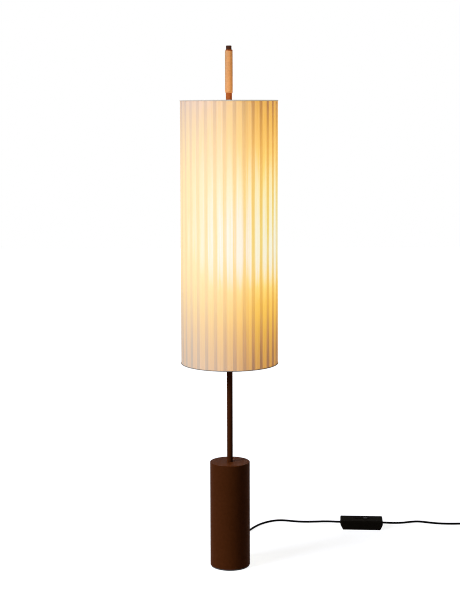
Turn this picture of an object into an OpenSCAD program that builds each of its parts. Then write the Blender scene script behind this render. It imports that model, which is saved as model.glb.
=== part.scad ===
// Floor lamp: a weighted tube base, a slim pole that runs right through a tall shade of
// overlapping ribbons, two lampholders on a bracket inside, a cane-wrapped handle on top,
// and a cord with an inline slider dimmer, its spare length coiled and tied.
// Millimetres, +Z up. The origin is the centre of the base on the floor.
// +X is to the viewer's right and +Y is behind the lamp, where the cord leaves.

/* [Base] */
// Outer diameter of the base tube
base_d = 112; // [92:1:140]
// Height of the base's top face above the floor
base_h = 299; // [240:0.5:360]
// Wall of the base tube
base_wall = 3; // [2:0.5:3.5]
// Thickness of the base's top
base_top_t = 8; // [5:0.5:14]
// Thickness of the pad under the base
pad_t = 2; // [1:0.5:4]
// Thickness of the closing plate, its rim included
plate_t = 6; // [4.5:0.5:9]
// Height of the ballast block
ballast_h = 230; // [150:5:240]
// Height of the cord outlet above the floor
outlet_z = 14.5; // [14:0.5:17]

/* [Pole and handle] */
// Outer diameter of the pole
pole_d = 16; // [13:0.5:20]
// Wall of the pole
pole_wall = 1.5; // [1:0.25:1.8]
// Height of the top of the pole's cap
lamp_h = 1464.5; // [1464:0.5:1760]
// Lower end of the cane wrap
wrap_z0 = 1334; // [1325:1:1335]
// Length of the cane wrap along the pole
wrap_len = 119; // [60:1:119]
// Width of the cane strip
cane_w = 4; // [2.5:0.1:4.1]
// Thickness of the cane strip
cane_t = 1.3; // [0.8:0.1:2]
// Wall of the leather liner between cane and pole
liner_t = 1; // [0.6:0.1:2]
// Wall of the leather where it shows below the wrap
sleeve_t = 0.4; // [0.3:0.1:1]

/* [Shade] */
// Outer diameter of the shade
shade_d = 272; // [225:1:340]
// Lower edge of the shade
shade_z0 = 581; // [480:1:700]
// Height of the shade, both hems included
shade_h = 734; // [600:1:740]
// Number of ribbons
ribbon_count = 32; // [24:4:40]
// Width of one ribbon's overlap on the next
ribbon_lap = 8.5; // [4:0.5:12]
// Thickness of a ribbon
ribbon_t = 0.8; // [0.5:0.1:1.2]
// Angle of the first ribbon's middle from the front
ribbon_turn = 0.2; // [0:0.1:11]
// Height of the top hem
hem_top_h = 3; // [2:0.5:5]
// Height of the bottom hem
hem_bottom_h = 2; // [1.5:0.5:5]
// Wire of the shade's rings and arms
wire_d = 4; // [3:0.5:6]

/* [Light fittings] */
// Height of the middle of the lamp bracket
bracket_z = 970; // [850:1:1050]
// Distance from the pole's axis to each lampholder's axis
holder_x = 50; // [42:1:60]
// Outer diameter of a lampholder
holder_d = 40; // [36:1:44]
// Length of a lampholder from its arm to its rim
holder_len = 58; // [54:1:64]
// Diameter of a bulb
bulb_d = 60; // [45:1:66]
// Distance from a lampholder's rim to its bulb's middle
bulb_rise = 54; // [44:1:64]

/* [Dimmer] */
// Length of the dimmer
dimmer_l = 130; // [104:1:160]
// Width of the dimmer
dimmer_w = 62; // [44:1:66]
// Height of the dimmer's body
dimmer_h = 27; // [25:0.5:33]
// Travel of the dimmer's slider
slider_travel = 38; // [20:1:46]

/* [Cord] */
// Diameter of the cord
cord_d = 6.2; // [5.2:0.1:7.4]
// Diameter of the coil's turns at their middle
coil_d = 74; // [66:1:84]
// Turns in each of the coil's two layers
coil_turns = 3; // [2:1:3]

/* [Hidden] */
$fn = 96;

// Clearances
seat_gap = 0.3;
slip_gap = 0.15;
thread_gap = 0.05;
eps = 0.01;

// Base
base_r = base_d / 2;
shell_in_r = base_r - base_wall;
rim_h = 1.5;
shell_z0 = pad_t + rim_h;
plate_top_z = pad_t + plate_t;
lug_r = 5;
lug_h = 20;
lug_place_r = shell_in_r - lug_r + 0.5;
ballast_r = lug_place_r - lug_r - 0.5;
ballast_top_z = plate_top_z + ballast_h;
recess_h = 48;
recess_wall = 12;
recess_r = ballast_r - recess_wall;
channel_w = 15;
screw_d = 5;
screw_head_r = 4.8;
screw_head_h = 2.6;
screw_len = 16;
screw_angles = [30, 150, 270];

// Pole
pole_r = pole_d / 2;
bore_r = pole_r - pole_wall;
washer_t = 3;
nut_h = 8;
nut_corner_r = pole_r + 5.9;
washer_z = plate_top_z + recess_h - washer_t;
nut_z = washer_z - nut_h;
pole_z0 = nut_z - 3;
cap_h = 10.5;
cap_inset = 0.3;
pole_top_z = lamp_h - cap_h;
joiner_len = 60;
joiner_bore_r = 4.9;
shoulder_h = 6;
shoulder_r = pole_r + 8;

// Gland and inner lead
gland_r = 5;
gland_flange_r = 7;
gland_flange_t = 3;
gland_taper = 25;
gland_tip_r = cord_d / 2 + 0.9;
gland_end_y = base_r + gland_flange_t + gland_taper;
lead_r = cord_d / 2;
lead_bend_r = 25;

// Shade
shade_r = shade_d / 2;
shade_top_z = shade_z0 + shade_h;
ribbon_step = 360 / ribbon_count;
// Each ribbon is a flat slab that leans outward at its left edge, over its neighbour.
ribbon_gap = 0.1;
ribbon_pitch = 2 * (shade_r - 3) * tan(ribbon_step / 2);
ribbon_w = ribbon_pitch + ribbon_lap;
lap_drop = ribbon_pitch * ribbon_lap / (2 * (shade_r - 3));
ribbon_lean = asin((ribbon_t + ribbon_gap + lap_drop) / ribbon_pitch);
ribbon_in_r = sqrt(pow(shade_r, 2) - pow(ribbon_w / 2, 2) * pow(cos(ribbon_lean), 2))
    - ribbon_w / 2 * sin(ribbon_lean) - ribbon_t;
ribbon_z0 = shade_z0 + hem_bottom_h;
ribbon_h = shade_h - hem_bottom_h - hem_top_h;
hem_in_r = ribbon_in_r - 0.3;
ring_out_r = ribbon_in_r - 0.5;
ring_r = ring_out_r - wire_d / 2;
top_ring_z = shade_top_z - hem_top_h - wire_d / 2 - 0.5;
bottom_ring_z = ribbon_z0 + wire_d / 2 + 1;
arm_angles = [90, 210, 330];
eye_r = pole_r + 9;
eye_t = 2.6;
collar_r = pole_r + 5;
collar_h = 12;
grub_d = 4;

// Lamp bracket and holders
sleeve_r = pole_r + 3;
sleeve_half = 70;
arm_drop = 54;
arm_d = 11;
arm_bore_r = 3.5;
boss_r = 9;
boss_low = 7;
boss_high = 6;
nipple_r = 5;
nipple_len = 10;
branch_r = 2.2;
branch_x = 2.45;
branch_bend = 4;
holder_r = holder_d / 2;
holder_wall = 2;
cap_len = 18;
insert_z0 = 14.5;
insert_h = 11;
skirt_bore_r = 13.5;
bulb_base_r = 13.2;
tip_z = insert_z0 + insert_h + seat_gap;
bulb_base_top = holder_len + 1;
bulb_r = bulb_d / 2;
glass_t = 1.5;

// Handle: one cane strip, wound on the liner in a single helix
wrap_loops = 26;
wrap_rings = 20;
wrap_pitch = (wrap_len - cane_w) / wrap_loops;
wrap_in_r = pole_r + slip_gap + liner_t + 0.15;

// Dimmer, in its own frame: long side along X, standing on z = 0
dimmer_pos = [406.5, 354, 0];
dimmer_turn = -4;
dimmer_seam_z = 15;
dimmer_taper = 8;
dimmer_corner = 6;
dimmer_wall = 2.5;
end_wall = 14;
bush_r = 4.8;
bush_len = 9;
bush_proud = 1;
slot_w = 4.4;
track_depth = 0.8;
stem_l = 6;
slider_rest = 12;
knob_l = 12;
knob_w = 11;
knob_h = 2.6;
foot_l = 9;
foot_h = 1.4;
dimmer_screw_x = dimmer_l / 2 - end_wall - 6;
dimmer_post_r = 3.6;
dimmer_screw_r = 1.4;
slot_l = slider_travel + stem_l + 2 * seat_gap;
slot_mid_x = slider_rest - slider_travel / 4;

// Coil: two layers, spiralling in and then out again
cord_r = cord_d / 2;
tie_t = 0.9;
tie_w = 14;
coil_step = cord_d + 0.5;
coil_in_r = coil_d / 2 - coil_step * coil_turns / 2;
coil_out_r = coil_d / 2 + coil_step * coil_turns / 2;
coil_z = cord_r + tie_t + 0.3;
coil_centre = [792, 378 + 47, 0];
coil_rings = 24;
coil_start = coil_centre + [0, -coil_out_r, coil_z];
coil_end = coil_centre + [0, -coil_out_r, coil_z + coil_step];

// Plug, in its own frame: pins towards +Y, resting on the floor
plug_l = 36;
plug_w = 36;
plug_t = 14;
plug_relief = 22;
pin_r = 2;
pin_gap = 19;
pin_len = 19;
pin_root = 8;
pin_root_r = 1.7;
tail_end = [coil_centre[0] + 80, coil_centre[1] + 22, plug_t / 2];

// Points where the cord meets the dimmer's bushes
port_x = dimmer_l / 2 + bush_proud;
dimmer_axis = [cos(dimmer_turn), sin(dimmer_turn), 0];
left_port = dimmer_pos + [0, 0, dimmer_seam_z] - port_x * dimmer_axis;
right_port = dimmer_pos + [0, 0, dimmer_seam_z] + port_x * dimmer_axis;

// The cord's free stretches, chosen by hand. It lies on the floor at half its diameter.
to_dimmer = concat(
    [
        [0, gland_end_y, outlet_z],
        [0, gland_end_y + cord_d, outlet_z],
        [0.5, 102, 13.6], [1.5, 117, 11.2], [3, 133, 8.2], [6, 150, 5.4], [10, 168, 3.8],
        [14, 186, 3.2], [19, 206, 3.1], [25, 228, 3.1], [32, 250, 3.1], [40, 272, 3.1],
        [50, 295, 3.1], [61, 317, 3.1], [71, 338, 3.1], [82, 358, 3.1], [95, 377, 3.1],
        [109, 392, 3.1], [124, 404, 3.1], [141, 413, 3.1], [159, 416, 3.1], [177, 413, 3.1],
        [195, 407, 3.1], [214, 402, 3.1], [232, 399.5, 3.2], [248, 396.7, 4],
        [263, 392, 5.7], [277.5, 385.5, 8], [291.5, 378.2, 10.5], [305.5, 370.4, 12.8],
        [319.5, 363.4, 14.4]
    ],
    [left_port - cord_d * dimmer_axis, left_port]
);
to_coil = concat(
    [right_port, right_port + cord_d * dimmer_axis],
    [
        [493.5, 348.2, 14.4], [509, 352, 12.9], [525, 361, 10.4], [540, 372.6, 7.6],
        [555, 385.2, 5.3], [569, 394.2, 3.8], [583, 398.4, 3.2], [597, 396.8, 3.1],
        [614, 390.2, 3.1], [631, 383.6, 3.1], [649, 378.2, 3.1], [668, 375.2, 3.1],
        [687, 374.2, 3.1], [706, 374.4, 3.1], [725, 375.4, 3.2], [744, 376.8, 3.5],
        [762, 377.8, 4]
    ],
    [coil_start - [2 * cord_d, 0, 0], coil_start - [cord_d, 0, 0]]
);
tail = concat(
    [coil_end + [cord_d, 0, 0], coil_end + [2 * cord_d, 0, 0]],
    [
        coil_end + [26, 2, -1.2], coil_end + [40, 7, -3.2], coil_end + [54, 16, -5.4],
        coil_end + [66, 28, -6.9], coil_end + [74, 40, -6.9]
    ],
    [tail_end - [1, 2.5 * cord_d, 1], tail_end - [0, cord_d, 0], tail_end]
);

// ---- shared shapes ----

function unit(v) = v / norm(v);

// Direction of a path at point i
function heading(path, i) =
    unit(path[min(i + 1, len(path) - 1)] - path[max(i - 1, 0)]);

// Rings of points round a path, each square to it
function sweep_points(path, radius, sides) = [
    for (i = [0 : len(path) - 1])
        let (
            ahead = heading(path, i),
            side = unit(cross(ahead, [0, 0, 1])),
            up = cross(side, ahead)
        )
        for (k = [0 : sides - 1])
            path[i] + radius * (cos(360 * k / sides) * side + sin(360 * k / sides) * up)
];

// Triangles that close a stack of rings into one skin
function sweep_faces(rings, sides) = concat(
    [
        for (i = [0 : rings - 2], k = [0 : sides - 1])
            let (a = i * sides + k, b = i * sides + (k + 1) % sides)
            each [[a, a + sides, b], [b, a + sides, b + sides]]
    ],
    [for (k = [1 : sides - 2]) [0, k, k + 1]],
    [for (k = [1 : sides - 2]) (rings - 1) * sides * [1, 1, 1] + [0, k + 1, k]]
);

module swept_tube(path, radius, sides) {
    polyhedron(sweep_points(path, radius, sides), sweep_faces(len(path), sides));
}

// Least distance between points of a wound path that are half a loop or more apart
function least_pitch(path, skip) = min([
    for (i = [0 : len(path) - 1 - skip], j = [i + skip : len(path) - 1])
        norm(path[i] - path[j])
]);

module tube(outer, inner, height) {
    difference() {
        cylinder(r = outer, h = height);
        translate([0, 0, -1]) cylinder(r = inner, h = height + 2);
    }
}

// Quarter of a ring, from +X towards +Y
module quarter_bend(bend_r, radius) {
    rotate_extrude(angle = 90) translate([bend_r, 0]) circle(r = radius, $fn = 32);
}

// Rectangle with round corners, centred
module round_rect(length, width, corner) {
    square([length - 2 * corner, width], center = true);
    square([length, width - 2 * corner], center = true);
    for (x = [-1, 1], y = [-1, 1])
        translate([x * (length / 2 - corner), y * (width / 2 - corner)]) circle(r = corner);
}

// Countersunk screw, head down at z = 0
module countersunk(shank_r, head_r, head_h, length) {
    cylinder(r1 = head_r, r2 = shank_r, h = head_h);
    cylinder(r = shank_r, h = length);
}

// ---- base ----

module base_shell() {
    color([0.24, 0.12, 0.07]) difference() {
        union() {
            rotate_extrude() polygon([
                [pole_r + slip_gap, base_h - base_top_t],
                [shell_in_r, base_h - base_top_t],
                [shell_in_r, shell_z0],
                [base_r - 0.4, shell_z0],
                [base_r, shell_z0 + 0.4],
                [base_r, base_h - 0.8],
                [base_r - 0.8, base_h],
                [pole_r + slip_gap, base_h]
            ]);
            for (a = screw_angles)
                rotate(a) translate([lug_place_r, 0, plate_top_z]) cylinder(r = lug_r, h = lug_h);
        }
        for (a = screw_angles)
            rotate(a) translate([lug_place_r, 0, plate_top_z - 1])
                cylinder(r = screw_d / 2 + thread_gap, h = lug_h - 3);
        translate([0, base_r + 1, outlet_z]) rotate([90, 0, 0])
            cylinder(r = gland_r + slip_gap, h = base_wall + 3);
    }
}

module base_ballast() {
    color([0.3, 0.3, 0.31]) difference() {
        translate([0, 0, plate_top_z]) cylinder(r = ballast_r, h = ballast_h);
        cylinder(r = pole_r + slip_gap, h = ballast_top_z + 1);
        translate([0, 0, plate_top_z - 1]) cylinder(r = recess_r, h = recess_h + 1);
        translate([-channel_w / 2, 0, plate_top_z - 1])
            cube([channel_w, ballast_r + 1, outlet_z - plate_top_z + gland_r + 3.5]);
        for (a = screw_angles)
            rotate(a) translate([ballast_r - recess_wall / 2, 0, plate_top_z - 1])
                cylinder(r = screw_d / 2 + thread_gap, h = screw_len);
    }
}

module base_plate() {
    color([0.18, 0.18, 0.18]) difference() {
        union() {
            translate([0, 0, pad_t]) cylinder(r = base_r - 0.8, h = rim_h);
            translate([0, 0, pad_t]) cylinder(r = shell_in_r - slip_gap, h = plate_t);
        }
        for (a = screw_angles, r = [lug_place_r, ballast_r - recess_wall / 2])
            rotate(a) translate([r, 0, pad_t - eps])
                countersunk(screw_d / 2 + 0.25, screw_head_r + 0.25, screw_head_h, plate_t + 1);
    }
}

module base_pad() {
    color([0.12, 0.1, 0.09]) cylinder(r = base_r - 2, h = pad_t);
}

module base_screws() {
    color("silver")
        for (a = screw_angles, r = [lug_place_r, ballast_r - recess_wall / 2])
            rotate(a) translate([r, 0, pad_t + 0.1])
                countersunk(screw_d / 2, screw_head_r, screw_head_h, screw_len);
}

// Rubber strain relief: a spigot in the wall, a flange outside it and a ribbed taper
module cord_gland() {
    color([0.08, 0.08, 0.08]) translate([0, base_r, outlet_z]) rotate([-90, 0, 0]) difference() {
        union() {
            translate([0, 0, -base_wall - 4]) cylinder(r = gland_r, h = base_wall + 5);
            cylinder(r = gland_flange_r, h = gland_flange_t);
            cylinder(r1 = gland_r + 1, r2 = gland_tip_r, h = gland_flange_t + gland_taper);
            for (k = [1 : 4])
                translate([0, 0, gland_flange_t + k * gland_taper / 5.5])
                    cylinder(r = gland_r + 1 - 0.33 * k, h = 2.2);
        }
        translate([0, 0, -base_wall - 5]) cylinder(r = lead_r + 0.1, h = base_wall + gland_taper + 20);
    }
}

// ---- pole ----

module pole_lower() {
    color([0.24, 0.12, 0.07]) difference() {
        translate([0, 0, pole_z0]) tube(pole_r, bore_r, bracket_z - pole_z0);
        translate([0, 0, bracket_z - arm_drop]) rotate([0, -90, 0])
            cylinder(r = arm_bore_r, h = pole_r + 2);
    }
}

module pole_upper() {
    color([0.24, 0.12, 0.07]) difference() {
        translate([0, 0, bracket_z]) tube(pole_r, bore_r, pole_top_z - bracket_z);
        translate([0, 0, bracket_z + arm_drop]) rotate([0, 90, 0])
            cylinder(r = arm_bore_r, h = pole_r + 2);
    }
}

// Threaded sleeve that joins the two lengths of pole from inside
module pole_joiner() {
    color("silver") translate([0, 0, bracket_z - joiner_len / 2])
        tube(bore_r - thread_gap, joiner_bore_r, joiner_len);
}

// Ring welded on the pole, drawn down on the ballast by the nut below it
module pole_shoulder() {
    color([0.3, 0.3, 0.31]) translate([0, 0, ballast_top_z])
        tube(shoulder_r, pole_r + thread_gap, shoulder_h);
}

module pole_washer() {
    color("silver") translate([0, 0, washer_z])
        tube(recess_r - 10, pole_r + slip_gap, washer_t);
}

module pole_nut() {
    color("silver") translate([0, 0, nut_z]) difference() {
        cylinder(r = nut_corner_r, h = nut_h, $fn = 6);
        translate([0, 0, -1]) cylinder(r = pole_r + thread_gap, h = nut_h + 2);
    }
}

// Turned cap with a fine groove round it
module pole_cap() {
    cap_r = pole_r - cap_inset;
    color([0.1, 0.06, 0.045]) translate([0, 0, pole_top_z]) {
        rotate_extrude() polygon([
            [0, 0], [cap_r, 0], [cap_r, cap_h - 5.2], [cap_r - 0.5, cap_h - 4.9],
            [cap_r - 0.5, cap_h - 4.3], [cap_r, cap_h - 4], [cap_r, cap_h - 1.2],
            [cap_r - 0.35, cap_h - 0.35], [cap_r - 1.2, cap_h], [0, cap_h]
        ]);
        translate([0, 0, -8]) cylinder(r = bore_r - thread_gap, h = 8 + eps);
    }
}

// Lead inside the base and pole, from the gland's tip up to the bracket
module inner_lead() {
    top_z = bracket_z - arm_drop - 11;
    color([0.08, 0.08, 0.08]) {
        translate([0, lead_bend_r, outlet_z]) rotate([-90, 0, 0])
            cylinder(r = lead_r, h = gland_end_y - lead_bend_r);
        translate([0, lead_bend_r, outlet_z + lead_bend_r]) rotate([0, -90, 0]) rotate(180)
            quarter_bend(lead_bend_r, lead_r);
        translate([0, 0, outlet_z + lead_bend_r])
            cylinder(r = lead_r, h = top_z - outlet_z - lead_bend_r);
    }
}

// ---- handle ----

// Leather round the pole: skived thin where it shows under the wrap, down into the shade
module handle_liner() {
    bore = pole_r + slip_gap;
    low = top_ring_z + eye_t / 2 + seat_gap;
    high = wrap_z0 + wrap_len;
    color([0.5, 0.26, 0.12]) rotate_extrude() polygon([
        [bore, low], [bore + sleeve_t, low], [bore + sleeve_t, wrap_z0],
        [bore + liner_t, wrap_z0], [bore + liner_t, high], [bore, high]
    ]);
}

// Points of the helix on the strip's inner face, with a straight end of one strip width
function wrap_point(n) =
    let (turn = n / wrap_rings)
    [
        wrap_in_r * sin(360 * turn),
        -wrap_in_r * cos(360 * turn),
        wrap_z0 + cane_w / 2 + wrap_pitch * turn
    ];
wrap_path = [for (n = [0 : wrap_loops * wrap_rings]) wrap_point(n)];

// Cross-section of the cane: [along the pole, out from it], flat inside and crowned outside
cane_section = [
    [-cane_w / 2, 0], [cane_w / 2, 0], [cane_w / 2, 0.55 * cane_t],
    [cane_w / 4, cane_t], [-cane_w / 4, cane_t], [-cane_w / 2, 0.55 * cane_t]
];

module handle_wrap() {
    count = len(wrap_path);
    echo(least_gap_in_wrap = least_pitch(wrap_path, wrap_rings / 2) - cane_w);
    color([0.85, 0.62, 0.38]) polyhedron(
        [
            for (p = wrap_path)
                let (out = unit([p[0], p[1], 0]))
                for (s = cane_section) p + out * s[1] + [0, 0, s[0]]
        ],
        sweep_faces(count, len(cane_section))
    );
}

// ---- shade ----

module shade_ring(height) {
    color([0.85, 0.84, 0.8]) translate([0, 0, height])
        rotate_extrude() translate([ring_r, 0]) circle(r = wire_d / 2, $fn = 32);
}

// Eye on the pole with three arms that reach the ring
module spider(height) {
    color([0.85, 0.84, 0.8]) translate([0, 0, height]) difference() {
        union() {
            translate([0, 0, -eye_t / 2]) cylinder(r = eye_r, h = eye_t);
            for (a = arm_angles)
                rotate(a) translate([eye_r - 4, 0, 0]) rotate([0, 90, 0])
                    cylinder(r = wire_d / 2, h = ring_r - wire_d / 2 - slip_gap - eye_r + 4);
        }
        translate([0, 0, -wire_d]) cylinder(r = pole_r + slip_gap, h = 2 * wire_d);
    }
}

// Clamp collar with a grub screw from the front
module collar(height) {
    color([0.24, 0.12, 0.07]) translate([0, 0, height]) difference() {
        tube(collar_r, pole_r + slip_gap, collar_h);
        translate([0, 0, collar_h / 2]) rotate([90, 0, 0])
            cylinder(r = grub_d / 2 + thread_gap, h = collar_r + 1);
    }
}

top_collar_z = top_ring_z - wire_d / 2 - collar_h;
bottom_collar_z = bottom_ring_z + wire_d / 2;

module top_ring() { shade_ring(top_ring_z); }
module bottom_ring() { shade_ring(bottom_ring_z); }
module top_spider() { spider(top_ring_z); }
module bottom_spider() { spider(bottom_ring_z); }
module top_collar() { collar(top_collar_z); }
module bottom_collar() { collar(bottom_collar_z); }

module grub_screws() {
    color("silver") {
        for (z = [top_collar_z + collar_h / 2, bottom_collar_z + collar_h / 2])
            translate([0, -pole_r - 0.1, z]) rotate([90, 0, 0])
                cylinder(r = grub_d / 2, h = collar_r - pole_r - 0.4);
        for (z = [bracket_z - sleeve_half + 8, bracket_z + sleeve_half - 8])
            translate([0, -pole_r - 0.1, z]) rotate([90, 0, 0])
                cylinder(r = grub_d / 2, h = sleeve_r - pole_r + 1);
    }
}

// Upright ribbons side by side, each lying over its neighbour's edge like a shingle
module shade_ribbons() {
    color([0.94, 0.88, 0.75])
        for (k = [0 : ribbon_count - 1])
            rotate(ribbon_turn + k * ribbon_step)
                translate([0, -ribbon_in_r, ribbon_z0])
                    rotate(ribbon_lean)
                        translate([-ribbon_w / 2, -ribbon_t, 0])
                            cube([ribbon_w, ribbon_t, ribbon_h]);
}

// Stitched binding over the ribbons' cut ends, with a rounded outer edge
module hem(height, tall, flip) {
    color([0.62, 0.55, 0.47]) translate([0, 0, height + (flip ? tall : 0)])
        mirror([0, 0, flip ? 1 : 0]) rotate_extrude() polygon([
            [hem_in_r, 0], [shade_r, 0], [shade_r, tall - 0.8],
            [shade_r - 0.8, tall], [hem_in_r + 0.8, tall], [hem_in_r, tall - 0.8]
        ]);
}

module shade_hem_top() { hem(shade_top_z - hem_top_h, hem_top_h, false); }
module shade_hem_bottom() { hem(shade_z0, hem_bottom_h, true); }

// ---- lamp bracket and lampholders ----

// One arm with its upright boss and nipple, towards -X and below the bracket's middle
module bracket_arm() {
    translate([0, 0, bracket_z - arm_drop]) {
        rotate([0, -90, 0]) cylinder(r = arm_d / 2, h = holder_x);
        translate([-holder_x, 0, -boss_low]) cylinder(r = boss_r, h = boss_low + boss_high);
        translate([-holder_x, 0, 0]) cylinder(r = nipple_r, h = boss_high + nipple_len);
    }
}

module bracket_arm_bore() {
    translate([0, 0, bracket_z - arm_drop]) {
        rotate([0, -90, 0]) cylinder(r = arm_bore_r, h = holder_x);
        translate([-holder_x, 0, 0]) {
            sphere(r = arm_bore_r);
            cylinder(r = arm_bore_r, h = boss_high + nipple_len + 1);
        }
    }
}

// What hangs down on the right is the upright set on the left, turned over
module turned_over() {
    translate([0, 0, bracket_z]) rotate([0, 180, 0]) translate([0, 0, -bracket_z]) children();
}

module lamp_bracket() {
    color([0.8, 0.78, 0.74]) difference() {
        union() {
            translate([0, 0, bracket_z - sleeve_half])
                cylinder(r = sleeve_r, h = 2 * sleeve_half);
            bracket_arm();
            turned_over() bracket_arm();
        }
        translate([0, 0, bracket_z - sleeve_half - 1])
            cylinder(r = pole_r + slip_gap, h = 2 * sleeve_half + 2);
        bracket_arm_bore();
        turned_over() bracket_arm_bore();
        for (z = [bracket_z - sleeve_half + 8, bracket_z + sleeve_half - 8])
            translate([0, 0, z]) rotate([90, 0, 0])
                cylinder(r = grub_d / 2 + thread_gap, h = sleeve_r + 1);
    }
}

// Lead that runs along the pole from a height to one arm, and through it to its holder
module branch_lead(from_z) {
    arm_z = bracket_z - arm_drop;
    side = sign(arm_z - from_z);
    top = boss_high + insert_z0 - seat_gap;
    translate([-branch_x, 0, min(from_z, arm_z + branch_bend)])
        cylinder(r = branch_r, h = abs(arm_z - from_z) - branch_bend);
    translate([-branch_x - branch_bend, 0, arm_z - side * branch_bend])
        rotate([0, side > 0 ? 0 : 90, 0]) rotate([90, 0, 0]) quarter_bend(branch_bend, branch_r);
    translate([-branch_x - branch_bend, 0, arm_z]) rotate([0, -90, 0])
        cylinder(r = branch_r, h = holder_x - branch_x - 2 * branch_bend);
    translate([branch_bend - holder_x, 0, arm_z + branch_bend])
        rotate([0, 180, 0]) rotate([90, 0, 0]) quarter_bend(branch_bend, branch_r);
    translate([-holder_x, 0, arm_z + branch_bend])
        cylinder(r = branch_r, h = top - branch_bend);
}

module holder_leads() {
    lead_top = bracket_z - arm_drop - 11;
    color([0.9, 0.88, 0.82]) {
        branch_lead(lead_top);
        turned_over() branch_lead(2 * bracket_z - lead_top);
    }
}

// The lampholder's own frame: its axis upright, z = 0 on the arm's boss
module at_holder() {
    translate([-holder_x, 0, bracket_z - arm_drop + boss_high]) children();
}

module holder_cap() {
    color([0.93, 0.91, 0.86]) at_holder() rotate_extrude() polygon([
        [nipple_r + slip_gap, 0], [holder_r - 7, 0], [holder_r - 2, 5], [holder_r, 11],
        [holder_r, cap_len], [holder_r - holder_wall, cap_len],
        [holder_r - holder_wall, 11.5], [holder_r - holder_wall - 1.6, 6.5],
        [holder_r - 8, holder_wall], [nipple_r + slip_gap, holder_wall]
    ]);
}

module holder_skirt() {
    land_z = insert_z0 + insert_h;
    color([0.93, 0.91, 0.86]) at_holder() rotate_extrude() polygon([
        [holder_r - holder_wall, cap_len], [holder_r, cap_len], [holder_r, holder_len - 1.5],
        [holder_r - 1.5, holder_len], [skirt_bore_r + 1, holder_len],
        [skirt_bore_r, holder_len - 1], [skirt_bore_r, land_z], [holder_r - holder_wall, land_z]
    ]);
}

// Ceramic block that carries the contacts
module holder_insert() {
    color([0.88, 0.88, 0.85]) at_holder() translate([0, 0, insert_z0])
        cylinder(r = holder_r - holder_wall - seat_gap, h = insert_h - seat_gap);
}

module bulb_base() {
    color([0.75, 0.75, 0.76]) at_holder() rotate_extrude() polygon([
        [0, tip_z], [4.5, tip_z], [4.5, tip_z + 1.2], [11, tip_z + 5], [bulb_base_r, tip_z + 7],
        [bulb_base_r, bulb_base_top], [0, bulb_base_top]
    ]);
}

// Height on a sphere and radius there at which a straight neck meets it smoothly
function neck_meet(radius, neck_r, rise) =
    let (
        reach = norm([neck_r, rise]),
        turn = atan2(rise, -neck_r) - asin(radius / reach),
        run = sqrt(pow(reach, 2) - pow(radius, 2))
    )
    [neck_r + run * cos(turn), run * sin(turn)];

// Ball and neck of a bulb, from its base up
module bulb_form(radius, neck_r) {
    rise = holder_len + bulb_rise - bulb_base_top;
    meet = neck_meet(radius, neck_r, rise);
    translate([0, 0, bulb_base_top]) {
        cylinder(r1 = neck_r, r2 = meet[0], h = meet[1]);
        translate([0, 0, rise]) sphere(r = radius);
    }
}

module bulb_globe() {
    color([1, 0.93, 0.75, 0.6]) at_holder() difference() {
        bulb_form(bulb_r, bulb_base_r);
        translate([0, 0, -eps]) bulb_form(bulb_r - glass_t, bulb_base_r - glass_t);
    }
}

module up_holder_cap() { holder_cap(); }
module up_holder_skirt() { holder_skirt(); }
module up_holder_insert() { holder_insert(); }
module up_bulb_base() { bulb_base(); }
module up_bulb_globe() { bulb_globe(); }
module down_holder_cap() { turned_over() holder_cap(); }
module down_holder_skirt() { turned_over() holder_skirt(); }
module down_holder_insert() { turned_over() holder_insert(); }
module down_bulb_base() { turned_over() bulb_base(); }
module down_bulb_globe() { turned_over() bulb_globe(); }

// ---- dimmer ----

module at_dimmer() {
    translate(dimmer_pos) rotate(dimmer_turn) children();
}

// Outer form: round corners in plan, ends drawn in below the seam, soft top edges
module dimmer_form() {
    half = dimmer_l / 2;
    intersection() {
        linear_extrude(height = dimmer_h) round_rect(dimmer_l, dimmer_w, dimmer_corner);
        rotate([90, 0, 0]) translate([0, 0, -dimmer_w]) linear_extrude(height = 2 * dimmer_w)
            intersection() {
                polygon([
                    [-half + dimmer_taper, 0], [half - dimmer_taper, 0], [half, dimmer_seam_z],
                    [half, dimmer_h], [-half, dimmer_h], [-half, dimmer_seam_z]
                ]);
                round_rect(dimmer_l, 2 * dimmer_h, 4);
            }
        rotate([90, 0, 90]) translate([0, 0, -dimmer_l]) linear_extrude(height = 2 * dimmer_l)
            round_rect(dimmer_w, 2 * dimmer_h, 4.5);
    }
}

// Bores for the two bushes, along the seam
module bush_bores() {
    for (s = [-1, 1])
        translate([s * (dimmer_l / 2 + 1), 0, dimmer_seam_z]) rotate([0, -90 * s, 0])
            cylinder(r = bush_r + thread_gap, h = end_wall + 3);
}

module dimmer_posts(radius, from_z, to_z) {
    for (s = [-1, 1])
        translate([s * dimmer_screw_x, 0, from_z]) cylinder(r = radius, h = to_z - from_z);
}

module dimmer_cavity(from_z, to_z) {
    difference() {
        translate([0, 0, (from_z + to_z) / 2])
            cube([dimmer_l - 2 * end_wall, dimmer_w - 8, to_z - from_z], center = true);
        dimmer_posts(dimmer_post_r, from_z - 1, to_z + 1);
    }
}

module dimmer_base() {
    color([0.08, 0.08, 0.07]) at_dimmer() difference() {
        intersection() {
            dimmer_form();
            translate([-dimmer_l, -dimmer_w, 0]) cube([2 * dimmer_l, 2 * dimmer_w, dimmer_seam_z]);
        }
        dimmer_cavity(dimmer_wall, dimmer_seam_z + 1);
        bush_bores();
        dimmer_posts(dimmer_screw_r + 0.2, -1, dimmer_seam_z + 1);
        dimmer_posts(dimmer_screw_r + 1.7, -1, 3);
    }
}

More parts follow.
